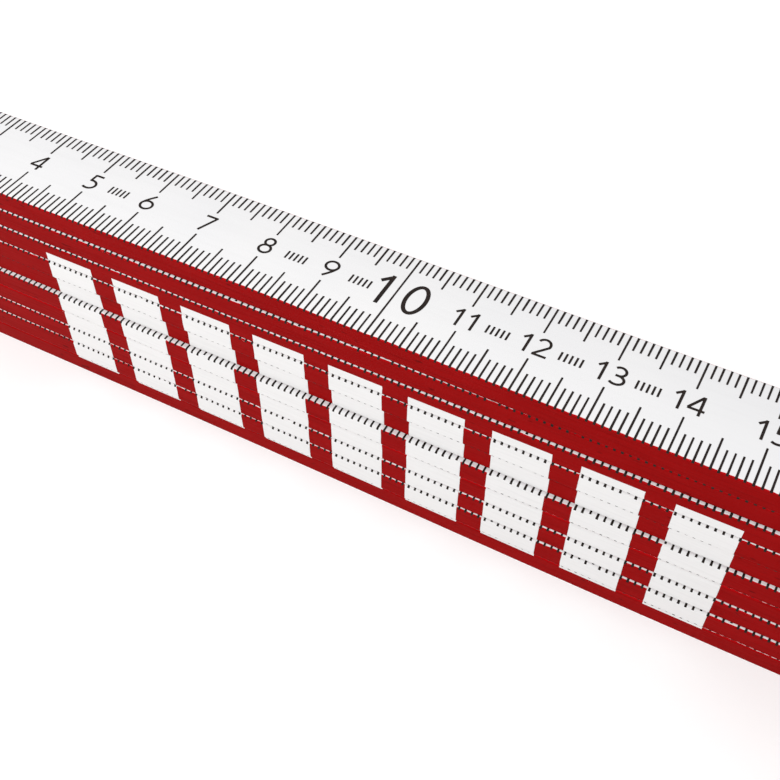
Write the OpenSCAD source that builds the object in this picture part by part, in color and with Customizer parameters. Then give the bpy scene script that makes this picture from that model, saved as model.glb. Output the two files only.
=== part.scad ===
// Two-metre folding rule: ten wooden slats on nine riveted, spring-plated joints, folded flat.
// The origin is under the middle of the folded stack. +X runs with the numbers of the first
// slat, +Y across the width, +Z up the stack. The reader's edge of the rule faces -Y.

/* [Slats] */
// Number of slats in the rule
slat_count = 10; // [2:1:10]
// Distance between the two joints of one slat
joint_pitch = 196; // [100:1:240]
// Length of slat beyond each joint
end_overhang = 20; // [19:1:24]
// Width of a slat across its printed face
slat_w = 16; // [15:0.5:20]
// Thickness of a slat
slat_t = 3.3; // [3:0.1:4]
// Air between neighbouring slats
slat_gap = 0.1; // [0.08:0.01:0.2]
// Rounding of a slat's long edges
edge_r = 0.35; // [0.2:0.05:0.6]
// Rounding of a slat's corners, seen on the printed face
corner_r = 1.4; // [0.5:0.1:3]
// Colour of the painted slats
slat_colour = "#a01418"; // [#a01418, #f4f1ee, #d8b13a]

/* [Hinge plates] */
// Thickness of a hinge plate
plate_t = 0.6; // [0.5:0.05:0.8]
// Reach of a hinge plate on each side of its joint
plate_reach = 17; // [14:0.5:18]
// Reach of the full-width part of a plate beyond its joint, towards the slat's middle
plate_shoulder = 9; // [8:0.5:11]
// Width of the plate's tongue
tongue_w = 9; // [6:0.5:12]
// Width of a claw along the slat's edge
claw_w = 3.2; // [2:0.1:4]
// Depth that a claw reaches into the slat's edge, plate included
claw_depth = 1.9; // [1.2:0.1:2.2]
// Thickness of a claw
claw_t = 0.5; // [0.3:0.05:0.8]

/* [Detent] */
// Radius of the circle that the detent nubs run on
detent_circle_r = 5.6; // [5:0.1:6]
// Radius of a nub where it leaves the plate
nub_r = 0.75; // [0.5:0.05:0.9]
// Height of a nub
nub_h = 0.3; // [0.2:0.02:0.32]
// Clearance between a nub and the groove that it runs in
nub_clearance = 0.12; // [0.1:0.01:0.2]
// Extra depth of the four detent hollows
hollow_extra = 0.12; // [0.05:0.01:0.15]

/* [Rivets] */
// Radius of a pivot rivet's shank
shank_r = 1.9; // [1.5:0.1:2.2]
// Radial running clearance of the shank in the lower slat and plate
running_clearance = 0.05; // [0.03:0.01:0.08]
// Radius of the pivot rivet's set head
head_r = 3.4; // [3:0.1:4]
// Thickness of the pivot rivet's set head
head_t = 0.5; // [0.3:0.05:0.6]
// Radius of the pivot rivet's peened head
peened_r = 2.9; // [2.5:0.1:3]
// Thickness of the pivot rivet's peened head
peened_t = 0.38; // [0.3:0.02:0.45]
// Depth that every rivet head stays below the slat's face
head_sink = 0.05; // [0.03:0.01:0.1]
// Thickness of the washer under the peened head
washer_t = 0.3; // [0.2:0.05:0.4]
// Axial play between washer and peened head
washer_play = 0.02; // [0.01:0.01:0.05]
// Shank radius of a plate rivet
small_shank_r = 0.8; // [0.6:0.05:1]
// Head radius of a plate rivet
small_head_r = 1.4; // [1.2:0.1:2]
// Head thickness of a plate rivet, let into the plate
small_head_t = 0.35; // [0.25:0.05:0.4]
// Depth that a plate rivet reaches into the slat, plate included
small_rivet_l = 2.5; // [1.8:0.1:2.8]
// Distance from the joint to each plate rivet
small_rivet_offset = 12.5; // [11.5:0.5:13.5]

/* [End caps] */
// Width of an end cap's strap
cap_w = 8; // [5:0.5:10]
// Thickness of the strap
cap_t = 0.35; // [0.25:0.05:0.5]
// Length of a strap's legs along the slat
cap_leg = 4.6; // [4:0.1:6]

/* [Hidden] */
$fn = 48;
// Sideways seat of each slat on its joints: the worn stack isn't quite flush along its edges.
slat_shift = [0.12, 0.02, -0.12, -0.16, 0.28, -0.28, -0.14, -0.18, -0.22, -0.04];
joint_count = slat_count - 1;
slat_l = joint_pitch + 2 * end_overhang;
slat_pitch = slat_t + slat_gap;
bore_r = shank_r + running_clearance;
groove_half_w = nub_r + nub_clearance;
groove_depth = nub_h - slat_gap + 0.05;
pocket_depth = washer_t + washer_play + peened_t + 2 * head_sink;
// Overshoot that keeps cutting tools from ending exactly on a face
cut = 1;

slat_names = [for (k = [1:slat_count]) str("slat_", k)];
rivet_group_names = [for (k = [1:slat_count]) str("plate_rivets_", k)];
upper_plate_names = [for (j = [1:joint_count]) str("upper_plate_", j)];
lower_plate_names = [for (j = [1:joint_count]) str("lower_plate_", j)];
pivot_names = [for (j = [1:joint_count]) str("pivot_rivet_", j)];
washer_names = [for (j = [1:joint_count]) str("rivet_washer_", j)];

// Height of a slat's underside: slat 1 is on top of the stack.
function slat_bottom(k) = (slat_count - k) * slat_pitch;
function slat_top(k) = slat_bottom(k) + slat_t;
// Joint j joins slat j to slat j + 1. Odd joints are at the +X end.
function joint_side(j) = (j % 2 == 1) ? 1 : -1;
function joint_x(j) = joint_side(j) * joint_pitch / 2;
function has_upper_plate(k) = k <= joint_count;
function has_lower_plate(k) = k > 1;

// Rectangle w by h with rounded corners, centred on the origin.
module rounded_rectangle(w, h, r) {
    square([w - 2 * r, h], center = true);
    square([w, h - 2 * r], center = true);
    for (x = [-1, 1], y = [-1, 1])
        translate([x * (w / 2 - r), y * (h / 2 - r)])
            circle(r);
}

// A slat before any cut: rounded along its edges and at its four corners.
module slat_blank(k) {
    translate([0, slat_shift[k - 1], slat_bottom(k) + slat_t / 2])
        intersection() {
            rotate([90, 0, 90])
                linear_extrude(slat_l, center = true)
                    rounded_rectangle(slat_w, slat_t, edge_r);
            linear_extrude(slat_t, center = true)
                rounded_rectangle(slat_l, slat_w, corner_r);
        }
}

// Outline of a hinge plate about its joint: +X points to the slat's middle.
module plate_outline() {
    translate([-plate_reach, -slat_w])
        square([plate_reach + plate_shoulder, 2 * slat_w]);
    translate([0, -tongue_w / 2])
        square([plate_reach - tongue_w / 2, tongue_w]);
    translate([plate_reach - tongue_w / 2, 0])
        circle(tongue_w / 2);
}

// Space taken by a plate and its four claws in slat k, z from 0 down into the slat.
module plate_space(k) {
    claw_y = slat_w / 2 - claw_t;
    translate([0, 0, -plate_t])
        linear_extrude(plate_t + cut)
            plate_outline();
    for (x = [-small_rivet_offset, plate_shoulder - claw_w / 2], side = [0, 180])
        translate([x, slat_shift[k - 1], -claw_depth])
            rotate([0, 0, side])
                translate([-claw_w / 2, claw_y, 0])
                    cube([claw_w, claw_t + cut, claw_depth + cut]);
}

// Turns its children so that +X points from the end at side towards the slat's middle.
module facing_middle(side) {
    if (side > 0)
        mirror([1, 0, 0])
            children();
    else
        children();
}

// Places its children at the upper plate of joint j, in the underside of slat j.
module at_upper_plate(j) {
    translate([joint_x(j), 0, slat_bottom(j)])
        facing_middle(joint_side(j))
            mirror([0, 0, 1])
                children();
}

// Places its children at the lower plate of joint j, in the top of slat j + 1.
module at_lower_plate(j) {
    translate([joint_x(j), 0, slat_top(j + 1)])
        facing_middle(joint_side(j))
            children();
}

module upper_plate_space(j) {
    at_upper_plate(j)
        plate_space(j);
}

module lower_plate_space(j) {
    at_lower_plate(j)
        plate_space(j + 1);
}

// Two holes or shanks, one on each side of a joint, z from -depth up to height above the plate's face.
module small_pair(r, depth, height) {
    for (side = [-1, 1])
        translate([side * small_rivet_offset, 0, -depth])
            cylinder(r = r, h = depth + height);
}

// The holes that a plate's two rivets fill, in plate and slat.
module small_rivet_holes() {
    small_pair(small_shank_r, small_rivet_l, cut);
    small_pair(small_head_r, head_sink + small_head_t, cut);
}

// A plate's two rivets, their heads a little below the plate's face.
module small_rivets() {
    small_pair(small_shank_r, small_rivet_l, -head_sink);
    small_pair(small_head_r, head_sink + small_head_t, -head_sink);
}

// Wooden slat with its plate recesses, rivet bores and head pockets.
module slat(k) {
    bottom = slat_bottom(k);
    top = slat_top(k);
    color(slat_colour)
        difference() {
            slat_blank(k);
            if (has_upper_plate(k)) {
                upper_plate_space(k);
                translate([joint_x(k), 0, bottom - cut])
                    cylinder(r = shank_r, h = slat_t + 2 * cut);
                translate([joint_x(k), 0, top - head_sink - head_t])
                    cylinder(r = head_r, h = head_t + cut);
                at_upper_plate(k)
                    small_rivet_holes();
            }
            if (has_lower_plate(k)) {
                lower_plate_space(k - 1);
                translate([joint_x(k - 1), 0, bottom - cut])
                    cylinder(r = bore_r, h = slat_t + 2 * cut);
                translate([joint_x(k - 1), 0, bottom - cut])
                    cylinder(r = head_r, h = pocket_depth + cut);
                at_lower_plate(k - 1)
                    small_rivet_holes();
            }
            if (k == 1)
                cap_strap(k, -1);
            if (k == slat_count)
                cap_strap(k, slat_count % 2 == 0 ? -1 : 1);
        }
}

// Plate in the underside of slat j: clamped to the pivot rivet, with two detent nubs.
module upper_plate(j) {
    color("#c9a24b") {
        difference() {
            intersection() {
                slat_blank(j);
                upper_plate_space(j);
            }
            translate([joint_x(j), 0, slat_bottom(j) - cut])
                cylinder(r = shank_r, h = slat_t);
            at_upper_plate(j)
                small_rivet_holes();
        }
        at_upper_plate(j)
            for (side = [-1, 1])
                translate([side * detent_circle_r, 0, 0])
                    cylinder(r1 = nub_r, r2 = nub_r * 0.6, h = nub_h);
    }
}

// Plate in the top of slat j + 1: turns about the pivot rivet, grooved for the nubs.
module lower_plate(j) {
    color("#c9a24b")
        difference() {
            intersection() {
                slat_blank(j + 1);
                lower_plate_space(j);
            }
            translate([joint_x(j), 0, slat_bottom(j + 1)])
                cylinder(r = bore_r, h = slat_t + cut);
            at_lower_plate(j) {
                small_rivet_holes();
                rotate_extrude()
                    translate([detent_circle_r - groove_half_w, -groove_depth])
                        square([2 * groove_half_w, groove_depth + cut]);
                for (quarter = [0:3])
                    rotate([0, 0, quarter * 90])
                        translate([detent_circle_r, 0, -groove_depth - hollow_extra])
                            cylinder(r = nub_r, h = groove_depth + hollow_extra + cut);
            }
        }
}

// Pivot rivet of joint j: set head in the top of slat j, peened head in the underside of slat j + 1.
module pivot_rivet(j) {
    top = slat_top(j) - head_sink;
    foot = slat_bottom(j + 1) + 2 * head_sink;
    dimple_r = 0.9;
    dimple_depth = 0.35;
    rim = 0.12;
    color("#b8b0a0")
        translate([joint_x(j), 0, 0])
            rotate_extrude()
                polygon([
                    [0, foot + dimple_depth],
                    [dimple_r, foot],
                    [peened_r - rim, foot],
                    [peened_r, foot + rim],
                    [peened_r, foot + peened_t],
                    [shank_r, foot + peened_t],
                    [shank_r, top - head_t],
                    [head_r, top - head_t],
                    [head_r, top - rim],
                    [head_r - rim, top],
                    [0, top]
                ]);
}

// Washer under the peened head of joint j, pressed into its pocket.
module rivet_washer(j) {
    color("#c8c8c4")
        translate([joint_x(j), 0, slat_bottom(j + 1) + pocket_depth - washer_t])
            difference() {
                cylinder(r = head_r, h = washer_t);
                translate([0, 0, -cut])
                    cylinder(r = bore_r, h = washer_t + 2 * cut);
            }
}

// All the plate rivets of slat k.
module plate_rivets(k) {
    color("#c9a24b") {
        if (has_upper_plate(k))
            at_upper_plate(k)
                small_rivets();
        if (has_lower_plate(k))
            at_lower_plate(k - 1)
                small_rivets();
    }
}

// Bent strap that guards one end of slat k: side is -1 for the -X end.
module cap_strap(k, side) {
    translate([side * (slat_l - cap_leg) / 2, slat_shift[k - 1], slat_bottom(k) + slat_t / 2])
        difference() {
            cube([cap_leg, cap_w, slat_t], center = true);
            translate([-side * cap_t, 0, 0])
                cube([cap_leg, cap_w + 2 * cut, slat_t - 2 * cap_t], center = true);
        }
}

module start_cap() {
    color("#c9a24b")
        cap_strap(1, -1);
}

module end_cap() {
    color("#c9a24b")
        cap_strap(slat_count, slat_count % 2 == 0 ? -1 : 1);
}

for (k = [1:slat_count]) {
    slat(k);
    plate_rivets(k);
}
for (j = [1:joint_count]) {
    upper_plate(j);
    lower_plate(j);
    pivot_rivet(j);
    rivet_washer(j);
}
start_cap();
end_cap();
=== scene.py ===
"""Looks of the two-metre folding rule: painted slats, printed scales and sprung brass joints."""
import math

import bmesh
import bpy
import numpy as np
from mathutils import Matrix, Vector


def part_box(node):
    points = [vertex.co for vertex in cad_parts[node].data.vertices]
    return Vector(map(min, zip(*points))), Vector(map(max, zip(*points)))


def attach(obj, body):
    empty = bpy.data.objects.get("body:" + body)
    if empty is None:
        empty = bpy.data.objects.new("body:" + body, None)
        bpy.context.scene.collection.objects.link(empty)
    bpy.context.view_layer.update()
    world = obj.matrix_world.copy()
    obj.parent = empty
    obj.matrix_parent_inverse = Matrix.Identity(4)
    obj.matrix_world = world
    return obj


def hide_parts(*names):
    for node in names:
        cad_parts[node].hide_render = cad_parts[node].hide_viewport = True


MM = 0.001
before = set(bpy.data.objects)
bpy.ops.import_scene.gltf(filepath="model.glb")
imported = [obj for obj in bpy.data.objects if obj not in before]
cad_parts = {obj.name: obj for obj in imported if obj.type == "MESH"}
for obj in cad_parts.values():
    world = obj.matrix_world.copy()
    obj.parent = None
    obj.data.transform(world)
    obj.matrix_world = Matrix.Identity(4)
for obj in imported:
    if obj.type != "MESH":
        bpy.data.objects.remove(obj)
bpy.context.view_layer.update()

# ---------------------------------------------------------------- sizes, in millimetres
SLAT_COUNT = 10
JOINT_INSET = 20.0            # from a slat's end to its joint
JOINT_PITCH = 196.0           # between the two joints of a slat
EDGE_R = 0.35                 # rounding of every edge of a slat
CORNER_R = 1.4                # rounding of a slat's corners, seen on its face

PLATE_T = 0.6
PLATE_REACH = 17.0            # plate beyond its joint, each way
PLATE_SHOULDER = 9.0          # where the plate narrows to its tongue
TONGUE_W = 9.0
CLAW_W = 3.2
CLAW_DEPTH = 1.9
CLAW_T = 0.5
CLAW_OUTER = -12.5            # claw centres along the plate, from the joint
CLAW_INNER = 7.4
SMALL_RIVET_OFFSET = 12.5
SMALL_RIVET_R = 0.8
SMALL_RIVET_L = 2.5
HEAD_R = 3.4
HEAD_DEPTH = 0.55             # pocket of the pivot rivet's set head
WASHER_POCKET = 0.8           # pocket of its washer and peened head
BORE_R = 1.95
CAP_W = 8.0
CAP_T = 0.35
CAP_LEG = 4.6
CAP_BEND = 0.55               # outer radius of a cap's bends
CAP_EDGE = 0.1                # rounding of a cap's edges
HEAD_SINK = 0.05              # a rivet head's face below the slat's face
HEAD_T = 0.5
PEENED_R = 2.9
PEENED_T = 0.38
RIM = 0.12                    # rounding of a rivet head's rim
SHANK_R = 1.9
PEENED_DIMPLE = ((0.02, 0.33), (0.3, 0.28), (0.75, 0.05), (0.95, 0.0))    # (radius, rise) at the peened end
HEAD_RING = ((2.5, 0.0), (2.42, 0.03), (2.3, 0.03), (2.22, 0.0),          # (radius, depth) on the set head
             (0.5, 0.01), (0.02, 0.01))
HAIRLINE = 0.03               # joint line round metal that is let into the wood

# How far cutters reach past the slat. Those that overlap reach past it by different amounts.
RECESS_PAST = 1.0
RECESS_PAST_SIDE = 2.0
CLAW_PAST = 0.9
CLAW_PAST_SIDE = 1.5
POCKET_PAST = 1.0
BORE_PAST = 1.1
LEG_PAST = 1.0
FRONT_PAST = 0.8
FRONT_PAST_END = 0.9

# Heights of the layers over the wood
RED_H = 0.012
PRINT_H = 0.020
INK_H = 0.028
SUNK = -0.008                 # underside of every layer, just inside what it lies on

# Scale, measured across the face from the edge that the numbers stand on
TICK_W = 0.26
TICK_NEAR = {1: 3.45, 5: 4.95, 10: 5.9}     # lengths of 1, 5 and 10 mm marks from that edge
TICK_FAR = {1: 2.65, 5: 4.05, 10: 5.05}     # and from the other edge
TICK_WIDTHS = (0.92, 1.06)    # range of marks' widths, as shares of TICK_W
OVER_SPREAD = 0.04            # how unevenly marks end round the edge
MISSES_BY = (0.05, 0.3)       # range by which ink that misses the edge stops short of it
TICK_OVER = 0.13              # how far marks run on round the edge, beyond EDGE_R from the face's flat
TICK_SHORT = -0.13            # the same on the slats whose marks stop short of the edge
SHORT_SLATS = (5, 7, 10)
TICK_SPREAD = 0.3             # how much wider a mark is where it crosses the edge
SKIPPED_EDGE = 0.06           # share of marks whose ink misses the edge, on every slat but the first
DIGIT_BASE = 6.8
DIGIT_STROKE = 0.36
DIGIT_CELL = 2.09
BIG_SCALE = 1.757
BIG_NARROW = 0.88
BIG_BASE = 5.6
BIG_STROKE = 0.57
STROKE_LIFT = 0.003           # each further stroke of a digit lies this much higher where they cross
BIG_GAP = 1.35                # clear space between a decimetre's line and its digits
LONG_NARROW = 0.86            # width of a three-digit number's digits
BIG_LONG_NARROW = 0.72        # the same for the large numbers
METAL_GAP = 0.3               # clear space between print and metal, or a slat's end
HEAD_GAP = 0.35               # clear space between a number and a rivet head
BIG_HEAD_GAP = 0.4            # the same where a large number is moved clear of one
FURTHEST_MOVE = 2.0           # how far a number may be moved clear of a rivet head
TONGUE_GAP = 0.6              # clear space between a mark's end and a plate's tongue
PASS_HEAD = 0.25              # how near, along the slat, a mark may pass a rivet head at full length
END_AT_HEAD = 0.15            # space beyond METAL_GAP between a mark's end and a rivet head
PASS_CAP = 0.2                # how near, along the slat, a mark may pass a cap at full length
CROWDED = 0.2                 # how far a number before a decimetre may be moved towards it

# Side print: equal upright blocks, evenly spaced, on the reader's side of the folded stack
PRINT_LEFT = -72.0
PRINT_RIGHT = 33.0
PRINT_COUNT = 9
PRINT_SHARE = 0.68            # share of the length that is white
PRINT_STEP = 1.5              # a block has about one column of points for each such length
PRINT_SLIP = 0.06             # spread of a slat's whole print along it
PRINT_RAGGED = 0.02           # unevenness of a block's upright sides
PRINT_LOW = 3.0
PRINT_HIGH = 25.5

# Plain marks: the same short row of bars after some of slat 1's numbers
MARKED_NUMBERS = (5, 8, 9, 11, 12, 13)
MARK_AFTER = 4.8              # from a number's line to the middle of its row
BAR_COUNT = 5
BAR_PITCH = 0.7
BAR_W = 0.28
BAR_H = 1.5
BAR_MIDDLE = 8.2

# Sideways bow of each slat between its joints, as (middle, tilt)
BOW = ((-0.1, -0.6), (0.1, 0.4), (0.0, -0.1), (0.0, -0.1), (0.0, -0.1),
       (-0.1, 0.6), (-0.1, 0.4), (-0.2, 0.2), (-0.3, -0.2), (-0.3, -0.6))
BOW_REACH = 88.0

slat_box = {}
for k in range(1, SLAT_COUNT + 1):
    low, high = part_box(f"slat_{k}")
    slat_box[k] = (np.array(low) / MM, np.array(high) / MM)
SLAT_L, SLAT_W, SLAT_T = slat_box[1][1] - slat_box[1][0]


# ---------------------------------------------------------------- placing points on a slat
def bow(k, x):
    """Sideways bow of slat k at x: none at the joints."""
    place = np.clip(x / BOW_REACH, -1, 1)
    middle, tilt = BOW[k - 1]
    return (middle + tilt * place) * (1 - place ** 2) ** 2


def to_row(k, u, v, w):
    """Row-frame points of slat k. u runs along its scale, v across from the edge that the
    front's numbers stand on, w up from its underside. Even slats lie the other way round."""
    low, high = slat_box[k]
    if k % 2:
        x = low[0] + u
        y = low[1] + v
    else:
        x = high[0] - u
        y = high[1] - v
    return np.stack(np.broadcast_arrays(x, y + bow(k, x), low[2] + w), axis=-1)


def side_profile(q, h):
    """(inset, height) of the skin at arc length q down from the top face's flat, h above it.
    q below zero lies on the flat; the far end of the range is the underside's flat."""
    arc = EDGE_R * math.pi / 2
    wall = SLAT_T - 2 * EDGE_R
    top = np.clip(q, 0, arc) / EDGE_R
    foot = np.clip(q - arc - wall, 0, arc) / EDGE_R
    radius = EDGE_R + h
    upper = q < arc + wall / 2
    inset = EDGE_R - radius * np.where(upper, np.sin(top), np.cos(foot)) - np.minimum(q, 0)
    height_top = SLAT_T - EDGE_R + radius * np.cos(top)
    height_foot = EDGE_R - radius * np.sin(foot)
    height = np.where(upper, height_top - np.clip(q - arc, 0, wall / 2),
                      height_foot + np.clip(arc + wall - q, 0, wall / 2))
    return inset, height


PROFILE_L = EDGE_R * math.pi + SLAT_T - 2 * EDGE_R


def over_face(p, h):
    """(v, w) on the front face at distance p across it, wrapping down both edges."""
    near_inset, near_height = side_profile(EDGE_R - p, h)
    far_inset, far_height = side_profile(p - (SLAT_W - EDGE_R), h)
    near = p < SLAT_W / 2
    return np.where(near, near_inset, SLAT_W - far_inset), np.where(near, near_height, far_height)


def turned(face, v, w):
    """The same place on the back face, as if the slat were turned over along its length."""
    if face == "front":
        return v, w
    return SLAT_W - v, SLAT_T - w


# ---------------------------------------------------------------- mesh building
class Builder:
    """Collects closed solids into one mesh."""

    def __init__(self):
        self.points = []
        self.faces = []
        self.count = 0

    def add(self, points, faces):
        points = np.asarray(points, float).reshape(-1, 3)
        self.points.append(points)
        self.faces.extend(tuple(int(i) + self.count for i in f) for f in faces)
        self.count += len(points)

    def add_many(self, points, faces):
        """points is (n, m, 3): n copies of one solid that share the same face list."""
        n, m, _ = points.shape
        grid = np.asarray(faces)[None, :, :] + (np.arange(n) * m)[:, None, None] + self.count
        self.points.append(points.reshape(-1, 3))
        self.faces.extend(map(tuple, grid.reshape(-1, grid.shape[-1]).tolist()))
        self.count += n * m

    def mesh(self, name):
        mesh = bpy.data.meshes.new(name)
        mesh.from_pydata((np.concatenate(self.points) * MM).tolist(), [], self.faces)
        return mesh


def tube_faces(stations, sides, closed=False):
    """Quads of a tube of sections, and its two end caps if it isn't closed on itself."""
    faces = []
    steps = stations if closed else stations - 1
    for s in range(steps):
        a, b = s * sides, (s + 1) % stations * sides
        for c in range(sides):
            d = (c + 1) % sides
            faces.append((a + c, a + d, b + d, b + c))
    if not closed:
        faces.append(tuple(range(sides))[::-1])
        faces.append(tuple((stations - 1) * sides + c for c in range(sides)))
    return faces


def finish_mesh(mesh, smooth_angle=35.0):
    """Turns every face outwards and shades the rounded ones smooth."""
    work = bmesh.new()
    work.from_mesh(mesh)
    bmesh.ops.recalc_face_normals(work, faces=work.faces)
    work.to_mesh(mesh)
    work.free()
    mesh.shade_smooth()
    mesh.set_sharp_from_angle(angle=math.radians(smooth_angle))
    return mesh


def piece(name, mesh, material, body, smooth_angle=35.0):
    """Makes an object of the mesh that rides on a body."""
    obj = bpy.data.objects.new(name, finish_mesh(mesh, smooth_angle))
    bpy.context.scene.collection.objects.link(obj)
    obj.data.materials.clear()
    obj.data.materials.append(material)
    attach(obj, body)
    return obj


def cut_away(mesh, cutters):
    """The mesh less the cutters, which may overlap each other."""
    scene = bpy.context.scene
    group = bpy.data.collections.new("cutters")
    scene.collection.children.link(group)
    target = bpy.data.objects.new("cut_target", mesh)
    scene.collection.objects.link(target)
    tools = []
    for cutter in cutters:
        tools.append(bpy.data.objects.new("cut_tool", finish_mesh(cutter.mesh("cutter"))))
        group.objects.link(tools[-1])
    step = target.modifiers.new("cut", "BOOLEAN")
    step.operation = "DIFFERENCE"
    step.solver = "MANIFOLD"
    step.operand_type = "COLLECTION"
    step.collection = group
    evaluated = target.evaluated_get(bpy.context.evaluated_depsgraph_get())
    result = bpy.data.meshes.new_from_object(evaluated)
    for tool in (target, *tools):
        bpy.data.objects.remove(tool)
    bpy.data.collections.remove(group)
    return result


# ---------------------------------------------------------------- joints of a slat
def upper_joint_u(k):
    """Place along slat k of its joint with slat k + 1, whose plate is in the underside."""
    return JOINT_INSET + JOINT_PITCH if k < SLAT_COUNT else None


def lower_joint_u(k):
    """Place along slat k of its joint with slat k - 1, whose plate is in the top face."""
    return JOINT_INSET if k > 1 else None


def lathe(k, u, profile):
    """A turned solid on a vertical axis in slat k: profile is (radius, height) from the axis."""
    builder = Builder()
    turns = 48
    angles = np.arange(turns) * 2 * math.pi / turns
    points = []
    for radius, height in profile:
        points.append(to_row(k, u + radius * np.cos(angles), axis_v(k) + radius * np.sin(angles),
                             np.full(turns, height)))
    builder.add(np.concatenate(points), tube_faces(len(profile), turns))
    return builder


def axis_v(k):
    """Where the joints' axes, which lie on the row's X axis, cross slat k."""
    low, high = slat_box[k]
    return -low[1] if k % 2 else high[1]


def block(k, u, v, w):
    """A block in slat k between two corners: u, v and w are (low, high)."""
    builder = Builder()
    corners = [to_row(k, np.array(a), np.array(b), np.array(c)) for a, b, c in (
        (u[0], v[0], w[0]), (u[1], v[0], w[0]), (u[1], v[1], w[0]), (u[0], v[1], w[0]),
        (u[0], v[0], w[1]), (u[1], v[0], w[1]), (u[1], v[1], w[1]), (u[0], v[1], w[1]))]
    builder.add(corners, tube_faces(2, 4))
    return builder


def plate_cutters(k, joint_u, towards, face_w, depth_sign):
    """Recess of a plate in slat k. towards is +1 or -1, from the joint to the slat's middle."""
    c = axis_v(k)
    half = TONGUE_W / 2 + HAIRLINE
    tip = PLATE_REACH - TONGUE_W / 2
    turn = np.linspace(-math.pi / 2, math.pi / 2, 17)
    outline = [(-PLATE_REACH - HAIRLINE, -RECESS_PAST_SIDE), (PLATE_SHOULDER + HAIRLINE, -RECESS_PAST_SIDE),
               (PLATE_SHOULDER + HAIRLINE, c - half)]
    outline += [(tip + half * math.cos(a), c + half * math.sin(a)) for a in turn]
    outline += [(PLATE_SHOULDER + HAIRLINE, c + half),
                (PLATE_SHOULDER + HAIRLINE, SLAT_W + RECESS_PAST_SIDE),
                (-PLATE_REACH - HAIRLINE, SLAT_W + RECESS_PAST_SIDE)]
    u = joint_u + towards * np.array([p[0] for p in outline])
    v = np.array([p[1] for p in outline])
    levels = (face_w + depth_sign * RECESS_PAST, face_w - depth_sign * PLATE_T)
    points = np.concatenate([to_row(k, u, v, np.full(len(u), w)) for w in levels])
    recess = Builder()
    recess.add(points, tube_faces(2, len(outline)))
    cutters = [recess]
    for centre in (CLAW_OUTER, CLAW_INNER):
        span = sorted(joint_u + towards * (centre + s * (CLAW_W / 2 + HAIRLINE)) for s in (-1, 1))
        depth = sorted((face_w + depth_sign * CLAW_PAST, face_w - depth_sign * (CLAW_DEPTH + HAIRLINE)))
        cutters.append(block(k, span, (-CLAW_PAST_SIDE, CLAW_T + HAIRLINE), depth))
        cutters.append(block(k, span, (SLAT_W - CLAW_T - HAIRLINE, SLAT_W + CLAW_PAST_SIDE), depth))
    return cutters


def joint_cutters(k, with_bores=True):
    """Everything that is let into slat k."""
    cutters = []
    for joint_u, towards, plate_face in ((upper_joint_u(k), -1, "back"), (lower_joint_u(k), 1, "front")):
        if joint_u is None:
            continue
        face_w = 0.0 if plate_face == "back" else SLAT_T
        up = -1 if plate_face == "back" else 1
        cutters += plate_cutters(k, joint_u, towards, face_w, up)
        if not with_bores:
            continue
        outer = SLAT_T - face_w
        pocket = HEAD_DEPTH if plate_face == "back" else WASHER_POCKET
        cutters.append(lathe(k, joint_u, [(HEAD_R + HAIRLINE, outer - up * POCKET_PAST),
                                          (HEAD_R + HAIRLINE, outer + up * pocket),
                                          (BORE_R, outer + up * pocket),
                                          (BORE_R, face_w + up * BORE_PAST)]))
        for side in (-1, 1):
            cutters.append(lathe(k, joint_u + side * SMALL_RIVET_OFFSET,
                                 [(SMALL_RIVET_R, face_w - up * SMALL_RIVET_L),
                                  (SMALL_RIVET_R, face_w - up * PLATE_T / 2)]))
    if k in (1, SLAT_COUNT):
        end, inward = (0.0, 1) if k == 1 else (SLAT_L, -1)
        middle = SLAT_W / 2
        across = (middle - CAP_W / 2 - HAIRLINE, middle + CAP_W / 2 + HAIRLINE)
        leg = sorted((end - inward * LEG_PAST, end + inward * (CAP_LEG + HAIRLINE)))
        cutters.append(block(k, leg, across, (SLAT_T - CAP_T, SLAT_T + LEG_PAST)))
        cutters.append(block(k, leg, across, (-LEG_PAST, CAP_T)))
        front = sorted((end - inward * FRONT_PAST_END, end + inward * CAP_T))
        cutters.append(block(k, front, across, (-FRONT_PAST, SLAT_T + FRONT_PAST)))
    return cutters


def cap_mesh(k):
    """The strap bent round the free end of slat k, with rounded bends and softened edges."""
    low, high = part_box("start_cap" if k == 1 else "end_cap")
    low, high = np.array(low) / MM, np.array(high) / MM
    end, inward = (low[0], 1) if low[0] < 0 else (high[0], -1)
    path = [(CAP_LEG, high[2], 0.0, 1.0)]
    for middle, start in ((high[2] - CAP_BEND, 90), (low[2] + CAP_BEND, 180)):
        for angle in np.radians(np.linspace(start, start + 90, 9)):
            path.append((CAP_BEND + CAP_BEND * math.cos(angle), middle + CAP_BEND * math.sin(angle),
                         math.cos(angle), math.sin(angle)))
    path.append((CAP_LEG, low[2], 0.0, -1.0))
    # The section: the strap's width with softened outer edges, as (across, depth under the skin)
    section = [(CAP_W / 2, CAP_T), (-CAP_W / 2, CAP_T)]
    for side, start in ((-1, 180), (1, 90)):
        for angle in np.radians(np.linspace(start, start - 90, 4)):
            section.append((side * (CAP_W / 2 - CAP_EDGE) + CAP_EDGE * math.cos(angle),
                            CAP_EDGE - CAP_EDGE * math.sin(angle)))
    middle_y = (low[1] + high[1]) / 2
    points = [(end + inward * (along - nx * depth), middle_y + across, z - nz * depth)
              for along, z, nx, nz in path for across, depth in section]
    builder = Builder()
    builder.add(points, tube_faces(len(path), len(section)))
    return builder.mesh(f"cap_{k}")


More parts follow.
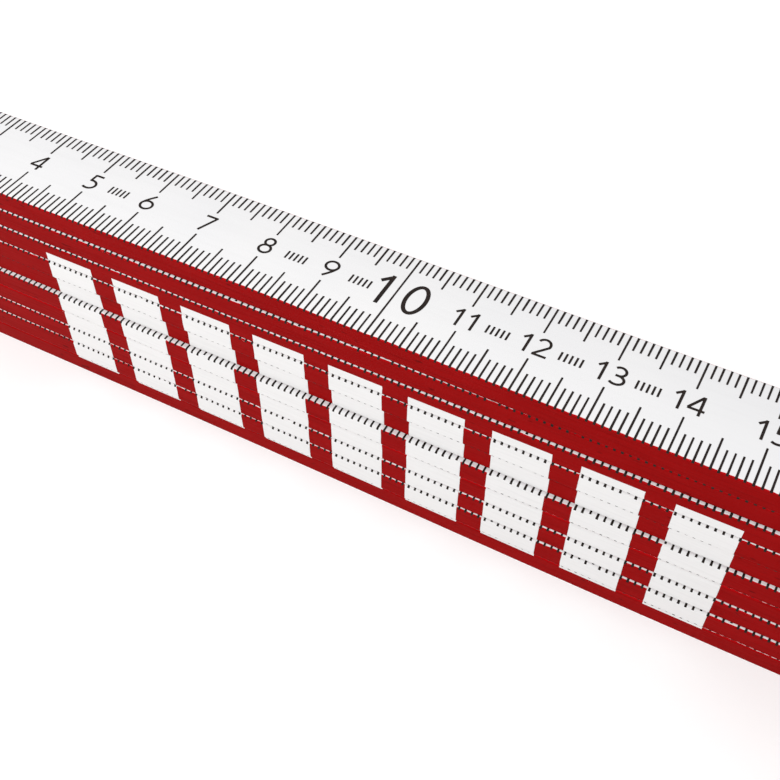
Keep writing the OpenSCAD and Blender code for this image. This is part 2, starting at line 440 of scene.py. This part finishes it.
def rivet_mesh(j):
    """Pivot rivet of joint j: a set head with a shallow pressed ring, and a dimpled peened head."""
    top = SLAT_T - HEAD_SINK
    foot = 2 * HEAD_SINK - (slat_box[j][0][2] - slat_box[j + 1][0][2])
    turn = np.radians(np.linspace(0, 90, 5))
    profile = [(radius, foot + rise) for radius, rise in PEENED_DIMPLE]
    profile += [(PEENED_R - RIM + RIM * math.sin(a), foot + RIM - RIM * math.cos(a)) for a in turn]
    profile += [(PEENED_R, foot + PEENED_T), (SHANK_R, foot + PEENED_T),
                (SHANK_R, top - HEAD_T), (HEAD_R, top - HEAD_T)]
    profile += [(HEAD_R - RIM + RIM * math.cos(a), top - RIM + RIM * math.sin(a)) for a in turn]
    profile += [(radius, top - depth) for radius, depth in HEAD_RING]
    return lathe(j, upper_joint_u(j), profile).mesh(f"rivet_{j}")


# ---------------------------------------------------------------- slats and their red edges
def outline_stations(step):
    """Points round a slat's plan with their outward normals, as arrays u, v, nu, nv."""
    rows = []
    corner = CORNER_R * math.pi / 2
    straight = ((SLAT_L - 2 * CORNER_R, (0, -1)), (SLAT_W - 2 * CORNER_R, (1, 0)),
                (SLAT_L - 2 * CORNER_R, (0, 1)), (SLAT_W - 2 * CORNER_R, (-1, 0)))
    centre = ((SLAT_L - CORNER_R, CORNER_R), (SLAT_L - CORNER_R, SLAT_W - CORNER_R),
              (CORNER_R, SLAT_W - CORNER_R), (CORNER_R, CORNER_R))
    for side, (length, normal) in enumerate(straight):
        along = (-normal[1], normal[0])
        start = centre[side - 1]
        count = max(2, round(length / step))
        for i in range(count):
            d = length * i / count
            rows.append((start[0] + CORNER_R * normal[0] + along[0] * d,
                         start[1] + CORNER_R * normal[1] + along[1] * d, *normal))
        turns = max(5, round(corner / step))
        base = math.atan2(normal[1], normal[0])
        for i in range(turns):
            a = base + math.pi / 2 * i / turns
            rows.append((centre[side][0] + CORNER_R * math.cos(a),
                         centre[side][1] + CORNER_R * math.sin(a), math.cos(a), math.sin(a)))
    return np.array(rows).T


def slat_mesh(k):
    """The wood of slat k: one rounded bar."""
    u, v, nu, nv = outline_stations(WOOD_STEP)
    arc = EDGE_R * math.pi / 2
    q = np.concatenate([np.linspace(0, arc, 6), np.linspace(PROFILE_L - arc, PROFILE_L, 6)])
    inset, height = side_profile(q, 0.0)
    points = to_row(k, u[:, None] - nu[:, None] * inset, v[:, None] - nv[:, None] * inset,
                    np.broadcast_to(height, (len(u), len(q))))
    builder = Builder()
    faces = []
    n, m = len(u), len(q)
    for i in range(n):
        j = (i + 1) % n
        for c in range(m - 1):
            faces.append((i * m + c, j * m + c, j * m + c + 1, i * m + c + 1))
    faces.append(tuple(i * m for i in range(n)))
    faces.append(tuple(i * m + m - 1 for i in range(n))[::-1])
    builder.add(points, faces)
    return cut_away(finish_mesh(builder.mesh(f"slat_{k}_wood")), joint_cutters(k))


def ragged(random, count, step, fine, coarse):
    """A smooth random border offset round a closed loop."""
    total = np.zeros(count)
    for length, size in ((step * 2.0, fine), (4.0, coarse)):
        width = max(1, round(length / step))
        noise = random.normal(0, 1, count)
        kernel = np.hanning(2 * width + 1)
        kernel /= math.sqrt((kernel ** 2).sum())
        spread = np.real(np.fft.ifft(np.fft.fft(noise) * np.fft.fft(kernel, count)))
        total += size * spread
    return total


BORDER_Q = 0.2                # from a face's flat down to the border of the red
BAND_STEP = 0.25              # spacing of the red's stations round a slat
WOOD_STEP = 2.5               # spacing of the wood's
BORDER_FINE = 0.014           # close and wide unevenness of the border, and its most
BORDER_COARSE = 0.012
BORDER_MOST = 0.08


def red_edge_mesh(k):
    """Red paint round the whole edge of slat k, with a slightly ragged border on each face."""
    random = np.random.default_rng(100 + k)
    u, v, nu, nv = outline_stations(BAND_STEP)
    n = len(u)
    top, foot = (np.clip(ragged(random, n, BAND_STEP, BORDER_FINE, BORDER_COARSE),
                         -BORDER_MOST, BORDER_MOST) for _ in range(2))
    top = BORDER_Q + top
    foot = PROFILE_L - BORDER_Q - foot
    arc = EDGE_R * math.pi / 2
    inner = np.array([0.06, 0.5, 0.94])
    fixed = np.array([arc + 0.02, PROFILE_L / 2, PROFILE_L - arc - 0.02])
    q = np.concatenate([top[:, None], top[:, None] + inner * (fixed[0] - top[:, None]),
                        np.broadcast_to(fixed, (n, 3)),
                        foot[:, None] - inner[::-1] * (foot[:, None] - fixed[2]), foot[:, None]], axis=1)
    over = np.full(q.shape[1], RED_H)
    over[[0, -1]] = RED_H * 0.25
    outer_inset, outer_height = side_profile(q, over)
    inner_inset, inner_height = side_profile(q[:, ::-1], SUNK)
    inset = np.concatenate([outer_inset, inner_inset], axis=1)
    height = np.concatenate([outer_height, inner_height], axis=1)
    points = to_row(k, u[:, None] - nu[:, None] * inset, v[:, None] - nv[:, None] * inset, height)
    builder = Builder()
    builder.add(points, tube_faces(n, points.shape[1], closed=True))
    return cut_away(finish_mesh(builder.mesh(f"slat_{k}_red")), joint_cutters(k, with_bores=False))


# ---------------------------------------------------------------- digits
def arc_points(cx, cy, rx, ry, start, end, count=18):
    """Points on an ellipse, angles in degrees."""
    a = np.radians(np.linspace(start, end, count))
    return np.stack([cx + rx * np.cos(a), cy + ry * np.sin(a)], axis=1)


def curve_points(p0, p1, p2, count=12):
    """A quadratic curve from p0 to p2."""
    t = np.linspace(0, 1, count)[:, None]
    p0, p1, p2 = (np.array(p) for p in (p0, p1, p2))
    return (1 - t) ** 2 * p0 + 2 * t * (1 - t) * p1 + t ** 2 * p2


def line(*points):
    return np.array(points, float)


def ring(cx, cy, rx, ry):
    """A closed oval stroke, marked by its equal ends."""
    return arc_points(cx, cy, rx, ry, 0, 360, 33)


SIX = (ring(0, 1.0, 0.93, 0.86), curve_points((-0.93, 1.02), (-0.86, 1.75), (0.42, 3.2)))
# Centre lines of each digit's strokes, on a digit 3.3 high
STROKES = {
    "0": (ring(0, 1.65, 0.86, 1.49),),
    "1": (line((0, 3.26), (0, 0)), line((-0.82, 2.38), (0.06, 3.12))),
    "2": (np.concatenate([arc_points(-0.04, 2.28, 0.82, 0.86, 158, -22), line((-0.84, 0.2))]),
          line((-0.96, 0.16), (0.96, 0.16))),
    "3": (arc_points(-0.14, 2.4, 0.78, 0.74, 142, -90), arc_points(-0.18, 0.92, 0.98, 0.76, 90, -138),
          line((-0.52, 1.67), (-0.1, 1.67))),
    "4": (line((0.46, 3.2), (-0.98, 0.92)), line((-1.06, 0.88), (1.06, 0.88)), line((0.52, 3.26), (0.52, 0))),
    "5": (line((-0.5, 3.12), (0.9, 3.12)), line((-0.44, 3.2), (-0.5, 1.74)),
          arc_points(-0.22, 1.02, 1.06, 0.88, 108, -128)),
    "6": SIX,
    "7": (line((-0.92, 3.12), (0.92, 3.12)), line((0.86, 3.2), (-0.46, 0))),
    "8": (ring(0.02, 2.44, 0.7, 0.7), ring(0, 0.96, 0.87, 0.8)),
    "9": tuple(line((0, 3.3)) - stroke for stroke in SIX),
}
INK_SIDE = {"1": (-0.95, 0.16)}   # ink to each side of a digit's origin, where it isn't even
CELL_LEFT = {"1": 0.12}           # clear space before the ink in a digit's cell


def ribbon(stroke, width):
    """(left, right) sides of a stroke of that width. A closed one keeps its ends together."""
    closed = np.allclose(stroke[0], stroke[-1])
    step = np.diff(stroke, axis=0)
    step /= np.linalg.norm(step, axis=1)[:, None]
    before = np.concatenate([step[-1:] if closed else step[:1], step])
    after = np.concatenate([step, step[:1] if closed else step[-1:]])
    across = before + after
    across /= np.linalg.norm(across, axis=1)[:, None]
    normal = np.stack([-across[:, 1], across[:, 0]], axis=1)
    cosine = np.clip((across * after).sum(1), 0.4, 1)[:, None]
    return stroke + normal * width / 2 / cosine, stroke - normal * width / 2 / cosine, closed


def flat_strip(builder, k, face, left, right, closed, lift=0.0):
    """A strip of ink on a face, between two lines of (u, distance across) points, raised by lift."""
    if closed:
        left, right = left[:-1], right[:-1]
    section = []
    for points, h in ((left, INK_H + lift), (right, INK_H + lift), (right, SUNK), (left, SUNK)):
        v, w = turned(face, points[:, 1], np.full(len(points), SLAT_T + h))
        section.append(to_row(k, points[:, 0], v, w))
    builder.add(np.stack(section, axis=1), tube_faces(len(left), 4, closed))


def draw_digit(builder, k, face, digit, u, base, scale, narrow, stroke_w):
    for order, stroke in enumerate(STROKES[digit]):
        placed = stroke * (scale * narrow, scale) + (u, base)
        flat_strip(builder, k, face, *ribbon(placed, stroke_w), lift=order * STROKE_LIFT)


def ink_extent(digit):
    """Ink to the left and right of a digit's origin on a digit 3.3 high."""
    if digit in INK_SIDE:
        return INK_SIDE[digit]
    across = np.concatenate(STROKES[digit])[:, 0]
    return across.min() - DIGIT_STROKE / 2, across.max() + DIGIT_STROKE / 2


def set_digits(text, scale, squeeze):
    """Origins of a number's digits in a row, and the row's ink width, centred on zero."""
    origins = []
    pen = 0.0
    for digit in text:
        left, right = ink_extent(digit)
        space = CELL_LEFT.get(digit, (DIGIT_CELL - right + left) / 2)
        origins.append(pen + space - left)
        pen += DIGIT_CELL
    start = origins[0] + ink_extent(text[0])[0]
    end = origins[-1] + ink_extent(text[-1])[1]
    middle = (start + end) / 2
    return [(o - middle) * scale * squeeze for o in origins], (end - start) * scale * squeeze


# ---------------------------------------------------------------- scales
def blocked_spans(k, face):
    """Where metal lies in a face: the joint place of its plate, and the centre of its rivet head."""
    plate_on = {"back": upper_joint_u(k), "front": lower_joint_u(k)}
    head_on = {"front": upper_joint_u(k), "back": lower_joint_u(k)}
    return plate_on[face], head_on[face]


def mark_room(k, face, u, length):
    """The length that a mark at u may have before it meets metal, or None for no mark."""
    plate, head = blocked_spans(k, face)
    if plate is not None:
        towards = 1 if plate < SLAT_L / 2 else -1
        d = (u - plate) * towards
        if -PLATE_REACH - METAL_GAP < d < PLATE_SHOULDER + METAL_GAP:
            return None
        if 0 < d < PLATE_REACH + METAL_GAP:
            length = min(length, SLAT_W / 2 - TONGUE_W / 2 - TONGUE_GAP)
    if head is not None and abs(u - head) < HEAD_R + PASS_HEAD:
        half_gap = math.sqrt((HEAD_R + METAL_GAP) ** 2 - min(abs(u - head), HEAD_R) ** 2)
        length = min(length, SLAT_W / 2 - half_gap - END_AT_HEAD)
    at_start = k == 1 and u < CAP_LEG + PASS_CAP
    at_end = k == SLAT_COUNT and u > SLAT_L - CAP_LEG - PASS_CAP
    if at_start or at_end:
        length = min(length, (SLAT_W - CAP_W) / 2 - METAL_GAP)
    return length


def tick_group(builder, k, face, u, length, far, random):
    """Marks at each u, wrapping over the edge: far puts them on the edge above the numbers."""
    if not len(u):
        return
    n = len(u)
    over = (TICK_SHORT if k in SHORT_SLATS else TICK_OVER) + random.uniform(-OVER_SPREAD, OVER_SPREAD, n)
    width = TICK_W * random.uniform(*TICK_WIDTHS, n)
    if k > 1:
        over = np.where(random.random(n) < SKIPPED_EDGE, -random.uniform(*MISSES_BY, n), over)
    share = np.linspace(0, 1, 6)
    wrap = -over[:, None] + share * (EDGE_R + over[:, None])
    p = np.concatenate([wrap, length[:, None]], axis=1)
    if far:
        p = SLAT_W - p
    near_edge = np.minimum(p, SLAT_W - p)
    half_width = width[:, None] / 2 * (1 + TICK_SPREAD * np.clip(1 - near_edge / 0.6, 0, 1))
    corners = []
    for side, h in ((-1, INK_H), (1, INK_H), (1, SUNK), (-1, SUNK)):
        v, w = turned(face, *over_face(p, h))
        corners.append(to_row(k, u[:, None] + side * half_width, v, w))
    points = np.stack(corners, axis=2).reshape(n, -1, 3)
    faces = tube_faces(p.shape[1], 4)
    builder.add_many(points, faces)


def number_room(k, face, centre, half):
    """Where a number of that half width may stand near centre, or None if metal is in the way."""
    plate, head = blocked_spans(k, face)
    if plate is not None:
        towards = 1 if plate < SLAT_L / 2 else -1
        d = (centre - plate) * towards
        if -PLATE_REACH - half < d < PLATE_REACH + half + METAL_GAP:
            return None
    if head is not None and abs(centre - head) < half + HEAD_R + HEAD_GAP:
        moved = head + math.copysign(half + HEAD_R + HEAD_GAP, centre - head)
        if abs(moved - centre) > FURTHEST_MOVE:
            return None
        centre = moved
    if not half + METAL_GAP < centre < SLAT_L - half - METAL_GAP:
        return None
    at_start = k == 1 and centre - half < CAP_LEG + METAL_GAP
    at_end = k == SLAT_COUNT and centre + half > SLAT_L - CAP_LEG - METAL_GAP
    if at_start or at_end:
        return None
    return centre


def scale_mesh(k, face):
    """Millimetre marks along both edges of a face, and its numbers."""
    random = np.random.default_rng(10 * k + (face == "back"))
    builder = Builder()
    first = (k - 1) * JOINT_PITCH
    groups = {False: ([], []), True: ([], [])}
    for mm in range(int(first) + 1, int(first + SLAT_L)):
        u = mm - first
        kind = 10 if mm % 10 == 0 else 5 if mm % 5 == 0 else 1
        for far, lengths in ((False, TICK_NEAR), (True, TICK_FAR)):
            full = mm % 100 == 0
            room = mark_room(k, face, u, SLAT_W / 2 if full else lengths[kind])
            if room is not None:
                groups[far][0].append(u)
                groups[far][1].append(room)
    for far, (places, lengths) in groups.items():
        tick_group(builder, k, face, np.array(places, float), np.array(lengths, float), far, random)
    for cm in range(int(first // 10) + 1, int((first + SLAT_L) // 10) + 1):
        u = cm * 10 - first
        text = str(cm)
        squeeze = LONG_NARROW if len(text) == 3 else 1.0
        if cm % 10:
            origins, width = set_digits(text, 1.0, squeeze)
            centre = number_room(k, face, u, width / 2)
            # A number that a rivet head pushes towards the large digits after it is left out
            crowded = centre is not None and cm % 10 == 9 and centre - u > CROWDED
            if centre is not None and not crowded:
                for digit, origin in zip(text, origins):
                    draw_digit(builder, k, face, digit, centre + origin, DIGIT_BASE, 1.0, squeeze,
                               DIGIT_STROKE)
            continue
        decimetre_digits(builder, k, face, text, u)
    return builder.mesh(f"scale_{face}_{k}")


def decimetre_digits(builder, k, face, text, u):
    """The large number of a decimetre, split by the line that crosses the whole face."""
    narrow = BIG_NARROW if len(text) == 2 else BIG_LONG_NARROW
    for part, side in ((text[:-1], -1), (text[-1], 1)):
        origins, width = set_digits(part, BIG_SCALE, narrow)
        centre = u + side * (BIG_GAP + width / 2)
        _, head = blocked_spans(k, face)
        if head is not None and abs(centre - head) < width / 2 + HEAD_R + METAL_GAP:
            centre = head + math.copysign(width / 2 + HEAD_R + BIG_HEAD_GAP, side)
        if number_room(k, face, centre, width / 2) is None:
            continue
        for digit, origin in zip(part, origins):
            draw_digit(builder, k, face, digit, centre + origin, BIG_BASE, BIG_SCALE, narrow, BIG_STROKE)


def face_marks_mesh():
    """Rows of plain upright bars after some of slat 1's numbers."""
    builder = Builder()
    offsets = BAR_PITCH * (np.arange(BAR_COUNT) - (BAR_COUNT - 1) / 2)
    for number in MARKED_NUMBERS:
        for u in number * 10 + MARK_AFTER + offsets:
            bar = line((u, BAR_MIDDLE - BAR_H / 2), (u, BAR_MIDDLE + BAR_H / 2))
            flat_strip(builder, 1, "front", *ribbon(bar, BAR_W))
    return builder.mesh("face_marks_1")


# ---------------------------------------------------------------- generic print
def print_mesh(k):
    """White blocks on the red side of slat k that faces the reader, or None where none cross it."""
    low_z = slat_box[k][0][2]
    arc = EDGE_R * math.pi / 2
    q = np.concatenate([np.linspace(0.15, arc, 6), np.linspace(arc, PROFILE_L - arc, 9)[1:-1],
                        np.linspace(PROFILE_L - arc, PROFILE_L - 0.3, 4)])
    height = side_profile(q, 0.0)[1]
    keep = (low_z + height >= PRINT_LOW) & (low_z + height <= PRINT_HIGH)
    if keep.sum() < 2:
        return None
    levels = [low_z + h for h in (height[keep].max(), height[keep].min())]
    q = q[keep]
    wall_top = arc + SLAT_T - EDGE_R + low_z
    if levels[1] > PRINT_LOW and low_z < PRINT_LOW:
        q = np.append(q, wall_top - PRINT_LOW)
    if levels[0] < PRINT_HIGH and low_z + SLAT_T > PRINT_HIGH:
        q = np.insert(q, 0, wall_top - PRINT_HIGH)
    random = np.random.default_rng(50 + k)
    builder = Builder()
    shift = random.normal(0, PRINT_SLIP)
    near_side = slat_box[k][0][1]
    pitch = (PRINT_RIGHT - PRINT_LEFT) / (PRINT_COUNT - 1 + PRINT_SHARE)
    for left in PRINT_LEFT + pitch * np.arange(PRINT_COUNT):
        right = left + pitch * PRINT_SHARE
        columns = max(3, round((right - left) / PRINT_STEP))
        share = np.linspace(0, 1, columns)[:, None]
        wobble = ragged(random, len(q) * 2, 0.3, PRINT_RAGGED, 0.0).reshape(2, -1)
        x = left + shift + wobble[0] + share * (right - left + wobble[1] - wobble[0])
        section = []
        for h, order in ((PRINT_H, slice(None)), (SUNK + RED_H, slice(None, None, -1))):
            inset, tall = side_profile(q[order], h)
            y = near_side + inset + bow(k, x[:, order])
            section.append(np.stack(np.broadcast_arrays(x[:, order], y, low_z + tall), axis=-1))
        points = np.concatenate(section, axis=1)
        builder.add(points, tube_faces(columns, points.shape[1]))
    return builder.mesh(f"side_print_{k}")


# ---------------------------------------------------------------- materials
def new_material(name):
    material = bpy.data.materials.new(name)
    material.use_nodes = True
    tree = material.node_tree
    return material, tree, tree.nodes["Principled BSDF"]


def stretched_noise(tree, scale, stretch=(1, 1, 1), detail=3.0, roughness=0.55):
    """A noise value in the piece's own coordinates, drawn out along its grain."""
    nodes, links = tree.nodes, tree.links
    place = nodes.new("ShaderNodeTexCoord")
    mapping = nodes.new("ShaderNodeMapping")
    mapping.inputs["Scale"].default_value = stretch
    noise = nodes.new("ShaderNodeTexNoise")
    noise.inputs["Scale"].default_value = scale
    noise.inputs["Detail"].default_value = detail
    noise.inputs["Roughness"].default_value = roughness
    links.new(place.outputs["Object"], mapping.inputs["Vector"])
    links.new(mapping.outputs["Vector"], noise.inputs["Vector"])
    return noise.outputs["Fac"]


def ramp(tree, value, stops):
    """Colours or greys by value: stops are (place, colour)."""
    node = tree.nodes.new("ShaderNodeValToRGB")
    elements = node.color_ramp.elements
    while len(elements) < len(stops):
        elements.new(0.5)
    for element, (place, colour) in zip(elements, stops):
        element.position = place
        element.color = colour if len(colour) == 4 else (*colour, 1.0)
    tree.links.new(value, node.inputs["Fac"])
    return node.outputs["Color"]


def grey(value):
    return (value, value, value)


def mix(tree, kind, factor, a, b):
    """Mixes two colours: factor is a number or a socket."""
    node = tree.nodes.new("ShaderNodeMix")
    node.data_type = "RGBA"
    node.blend_type = kind
    sockets = [s for s in node.inputs if s.enabled]
    for socket, value in zip(sockets, (factor, a, b)):
        if isinstance(value, (int, float)):
            socket.default_value = value
        elif isinstance(value, tuple):
            socket.default_value = (*value, 1.0)
        else:
            tree.links.new(value, socket)
    return [s for s in node.outputs if s.enabled][0]


def bump(tree, shader, height, distance, strength=1.0):
    node = tree.nodes.new("ShaderNodeBump")
    node.inputs["Distance"].default_value = distance
    node.inputs["Strength"].default_value = strength
    tree.links.new(height, node.inputs["Height"])
    tree.links.new(node.outputs["Normal"], shader.inputs["Normal"])


GRAIN = (1.0, 22.0, 22.0)     # stretch of the wood's grain and of the edge paint's streaks
STREAKS = (1.0, 30.0, 30.0)


def white_paint():
    """Satin white over beech: the grain shows faintly through."""
    material, tree, shader = new_material("white_paint")
    grain = stretched_noise(tree, 60.0, GRAIN, 4.0)
    cloud = stretched_noise(tree, 45.0, (1, 1, 1), 2.0)
    base = ramp(tree, cloud, ((0.3, (0.84, 0.835, 0.845)), (0.7, (0.87, 0.862, 0.862))))
    tint = ramp(tree, grain, ((0.35, grey(0.985)), (0.6, grey(1.0))))
    tree.links.new(mix(tree, "MULTIPLY", 1.0, base, tint), shader.inputs["Base Color"])
    tree.links.new(ramp(tree, grain, ((0.3, grey(0.36)), (0.7, grey(0.46)))), shader.inputs["Roughness"])
    bump(tree, shader, grain, 0.00003, 0.25)
    return material


def red_paint():
    """Dark red edge paint, streaked along the grain, with a painted highlight: brighter red where it turns up
    on to the top face.
    """
    material, tree, shader = new_material("red_edge_paint")
    streak = stretched_noise(tree, 110.0, STREAKS, 5.0)
    cloud = stretched_noise(tree, 80.0, (1.0, 6.0, 6.0), 2.0)
    fleck = stretched_noise(tree, 900.0, (0.5, 1.6, 1.6), 1.0)
    base = ramp(tree, cloud, ((0.3, (0.262, 0.0018, 0.002)), (0.7, (0.297, 0.0026, 0.0029))))
    place = tree.nodes.new("ShaderNodeTexCoord")
    parts = tree.nodes.new("ShaderNodeSeparateXYZ")
    tree.links.new(place.outputs["Normal"], parts.inputs["Vector"])
    # Painted highlight: the red is mixed towards a brighter red where the surface faces up, on the top
    # roundings only
    painted_highlight = ramp(tree, parts.outputs["Z"], ((0.25, grey(0.0)), (0.8, grey(1.0))))
    base = mix(tree, "MIX", painted_highlight, base, (0.56, 0.006, 0.009))
    lines = ramp(tree, streak, ((0.3, grey(0.84)), (0.5, grey(1.0))))
    specks = ramp(tree, fleck, ((0.22, grey(0.55)), (0.3, grey(1.0))))
    colour = mix(tree, "MULTIPLY", 1.0, mix(tree, "MULTIPLY", 1.0, base, lines), specks)
    tree.links.new(colour, shader.inputs["Base Color"])
    shader.inputs["Specular IOR Level"].default_value = 0.02
    tree.links.new(ramp(tree, streak, ((0.3, grey(0.5)), (0.7, grey(0.38)))), shader.inputs["Roughness"])
    bump(tree, shader, streak, 0.00005, 0.6)
    return material


def side_print_paint():
    material, tree, shader = new_material("side_print_white")
    streak = stretched_noise(tree, 110.0, STREAKS, 5.0)
    tone = ramp(tree, streak, ((0.3, (0.765, 0.755, 0.75)), (0.55, (0.8, 0.79, 0.785))))
    tree.links.new(tone, shader.inputs["Base Color"])
    tree.links.new(ramp(tree, streak, ((0.3, grey(0.5)), (0.7, grey(0.38)))), shader.inputs["Roughness"])
    bump(tree, shader, streak, 0.00004, 0.25)
    return material


def scale_ink():
    material, tree, shader = new_material("scale_ink")
    patch = stretched_noise(tree, 700.0, (1, 1, 1), 3.0)
    tone = ramp(tree, patch, ((0.3, (0.010, 0.006, 0.005)), (0.75, (0.024, 0.015, 0.012))))
    shader.inputs["Specular IOR Level"].default_value = 0.15
    tree.links.new(tone, shader.inputs["Base Color"])
    tree.links.new(ramp(tree, patch, ((0.3, grey(0.5)), (0.7, grey(0.62)))), shader.inputs["Roughness"])
    return material


def metal(name, low, high, rough, scratch=(1.0, 40.0, 1.0)):
    """Rubbed metal with a cloudy tarnish and fine scratches, which an uneven scratch draws out one way."""
    material, tree, shader = new_material(name)
    scratches = stretched_noise(tree, 220.0, scratch, 4.0)
    cloud = stretched_noise(tree, 260.0, (1, 1, 1), 3.0)
    tone = mix(tree, "MULTIPLY", 1.0, ramp(tree, cloud, ((0.35, low), (0.7, high))),
               ramp(tree, scratches, ((0.3, grey(0.88)), (0.6, grey(1.0)))))
    tree.links.new(tone, shader.inputs["Base Color"])
    shader.inputs["Metallic"].default_value = 1.0
    shine = ramp(tree, scratches, ((0.3, grey(rough + 0.12)), (0.7, grey(rough))))
    tree.links.new(shine, shader.inputs["Roughness"])
    bump(tree, shader, scratches, 0.00002, 0.5)
    return material


WHITE = white_paint()
RED = red_paint()
PRINT = side_print_paint()
INK = scale_ink()
PLATE = metal("brass_plated_spring_steel", (0.62, 0.42, 0.16), (0.82, 0.6, 0.28), 0.28)
BRASS = metal("brass_small_rivets", (0.6, 0.4, 0.15), (0.78, 0.56, 0.26), 0.34, (1, 1, 1))
RIVET = metal("nickel_pivot_rivet", (0.5, 0.48, 0.44), (0.66, 0.64, 0.6), 0.26, (1, 1, 1))
WASHER = metal("steel_washer", (0.46, 0.46, 0.46), (0.62, 0.62, 0.62), 0.38, (1, 1, 1))

# ---------------------------------------------------------------- the slats
for k in range(1, SLAT_COUNT + 1):
    body = f"leaf_{k}"
    wood = piece(f"painted_slat_{k}", slat_mesh(k), WHITE, body)
    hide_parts(f"slat_{k}")
    piece(f"red_edge_{k}", red_edge_mesh(k), RED, body)
    piece(f"scale_front_{k}", scale_mesh(k, "front"), INK, body, 30.0)
    piece(f"scale_back_{k}", scale_mesh(k, "back"), INK, body, 30.0)
    blocks = print_mesh(k)
    if blocks is not None:
        piece(f"side_print_{k}", blocks, PRINT, body, 30.0)

piece("face_marks_1", face_marks_mesh(), INK, "leaf_1", 30.0)

# ---------------------------------------------------------------- metal
for k, name in ((1, "start_cap"), (SLAT_COUNT, "end_cap")):
    cap = piece(f"bent_{name}", cap_mesh(k), PLATE, f"leaf_{k}")
    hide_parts(name)
for j in range(1, SLAT_COUNT):
    rivet = piece(f"turned_rivet_{j}", rivet_mesh(j), RIVET, f"leaf_{j}")
    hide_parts(f"pivot_rivet_{j}")
for name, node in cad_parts.items():
    for start, material in (("upper_plate", PLATE), ("lower_plate", PLATE), ("plate_rivets", BRASS),
                            ("rivet_washer", WASHER)):
        if name.startswith(start):
            for slot in node.material_slots:
                slot.material = material

# ---------------------------------------------------------------- floor, light and camera
def area_light(name, place, aim, size, power):
    data = bpy.data.lights.new(name, "AREA")
    data.shape = "RECTANGLE"
    data.size, data.size_y = size
    data.energy = power
    light = bpy.data.objects.new(name, data)
    bpy.context.scene.collection.objects.link(light)
    light.location = place
    light.rotation_euler = (Vector(aim) - Vector(place)).to_track_quat("-Z", "Y").to_euler()


FLOOR_GLOW = 0.5
FLOOR_HALF = 6.0
FLOOR_DROP = 0.00005          # keeps the floor clear of the underside that stands on it
CAMERA_PLACE = (0.0303, -0.0911, 0.1307)
CAMERA_AIM = (-0.0106, -0.0148, 0.0339)
CAMERA_LENS = 49.65


def make_floor():
    material, tree, shader = new_material("pale_floor")
    tone = ramp(tree, stretched_noise(tree, 8.0), ((0.3, grey(0.58)), (0.7, grey(0.6))))
    tree.links.new(tone, shader.inputs["Base Color"])
    shader.inputs["Roughness"].default_value = 0.9
    shader.inputs["Emission Color"].default_value = (1, 1, 1, 1)
    shader.inputs["Emission Strength"].default_value = FLOOR_GLOW
    mesh = bpy.data.meshes.new("floor")
    corners = [(FLOOR_HALF * x, FLOOR_HALF * y, 0) for x, y in ((-1, -1), (1, -1), (1, 1), (-1, 1))]
    mesh.from_pydata(corners, [], [(0, 1, 2, 3)])
    mesh.materials.append(material)
    floor = bpy.data.objects.new("floor", mesh)
    bpy.context.scene.collection.objects.link(floor)
    floor.location.z = -FLOOR_DROP


def make_world():
    world = bpy.data.worlds.new("studio")
    world.use_nodes = True
    bpy.context.scene.world = world
    backdrop = world.node_tree.nodes["Background"]
    backdrop.inputs["Color"].default_value = (1, 1, 1, 1)
    backdrop.inputs["Strength"].default_value = 0.5


def make_camera():
    data = bpy.data.cameras.new("camera")
    camera = bpy.data.objects.new("camera", data)
    bpy.context.scene.collection.objects.link(camera)
    data.sensor_width = 36.0
    data.lens = CAMERA_LENS
    data.clip_start = 0.005
    data.clip_end = 50.0
    camera.location = CAMERA_PLACE
    camera.rotation_euler = (Vector(CAMERA_AIM) - camera.location).to_track_quat("-Z", "Y").to_euler()
    bpy.context.scene.camera = camera


make_floor()
make_world()
make_camera()
area_light("key_softbox", (-0.25, -0.32, 0.4), (-0.02, 0, 0.02), (0.25, 0.17), 1.68)
area_light("top_softbox", (-0.1, 0.3, 0.8), (0, 0, 0.02), (0.7, 0.5), 1.7)
bpy.context.scene.view_settings.view_transform = "Standard"
